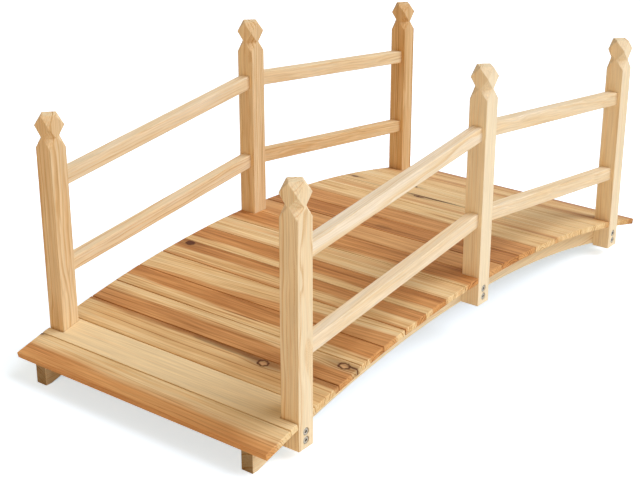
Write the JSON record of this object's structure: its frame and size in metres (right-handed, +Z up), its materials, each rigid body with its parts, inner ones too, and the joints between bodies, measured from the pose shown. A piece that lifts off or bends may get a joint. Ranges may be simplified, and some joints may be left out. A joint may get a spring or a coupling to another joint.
{
  "type": "wooden moon bridge",
  "caption": "Small arched wooden garden footbridge with a cross-boarded deck, bolted posts with faceted heads and sloping double handrails on both sides.",
  "frame": {"origin": "middle of the footprint, on the floor under the crown of the arch", "axes": "+X along the bridge towards the far end, +Y to the left side, +Z up"},
  "size_m": [1.4494, 0.66, 0.61],
  "materials": {
    "post": "planed, unfinished fir",
    "rail": "planed, unfinished fir",
    "stringer": "sawn and planed fir",
    "deck_board": "planed fir with heartwood stripes",
    "bolt_steel": "zinc plated"
  },
  "bodies": {
    "root": {"deck_board_01": "deck_board", "deck_board_02": "deck_board", "deck_board_03": "deck_board", "deck_board_04": "deck_board", "deck_board_05": "deck_board", "deck_board_06": "deck_board", "deck_board_07": "deck_board", "deck_board_08": "deck_board", "deck_board_09": "deck_board", "deck_board_10": "deck_board", "deck_board_11": "deck_board", "deck_board_12": "deck_board", "deck_board_13": "deck_board", "deck_board_14": "deck_board", "deck_board_15": "deck_board", "deck_board_16": "deck_board", "deck_board_17": "deck_board", "deck_board_18": "deck_board", "deck_board_19": "deck_board", "deck_board_20": "deck_board", "left_far_lower_rail": "rail", "left_far_post": "post", "left_far_post_bolts": "bolt_steel", "left_far_upper_rail": "rail", "left_middle_post": "post", "left_middle_post_bolts": "bolt_steel", "left_near_lower_rail": "rail", "left_near_post": "post", "left_near_post_bolts": "bolt_steel", "left_near_upper_rail": "rail", "left_stringer": "stringer", "right_far_lower_rail": "rail", "right_far_post": "post", "right_far_post_bolts": "bolt_steel", "right_far_upper_rail": "rail", "right_middle_post": "post", "right_middle_post_bolts": "bolt_steel", "right_near_lower_rail": "rail", "right_near_post": "post", "right_near_post_bolts": "bolt_steel", "right_near_upper_rail": "rail", "right_stringer": "stringer"}
  },
  "joints": []
}
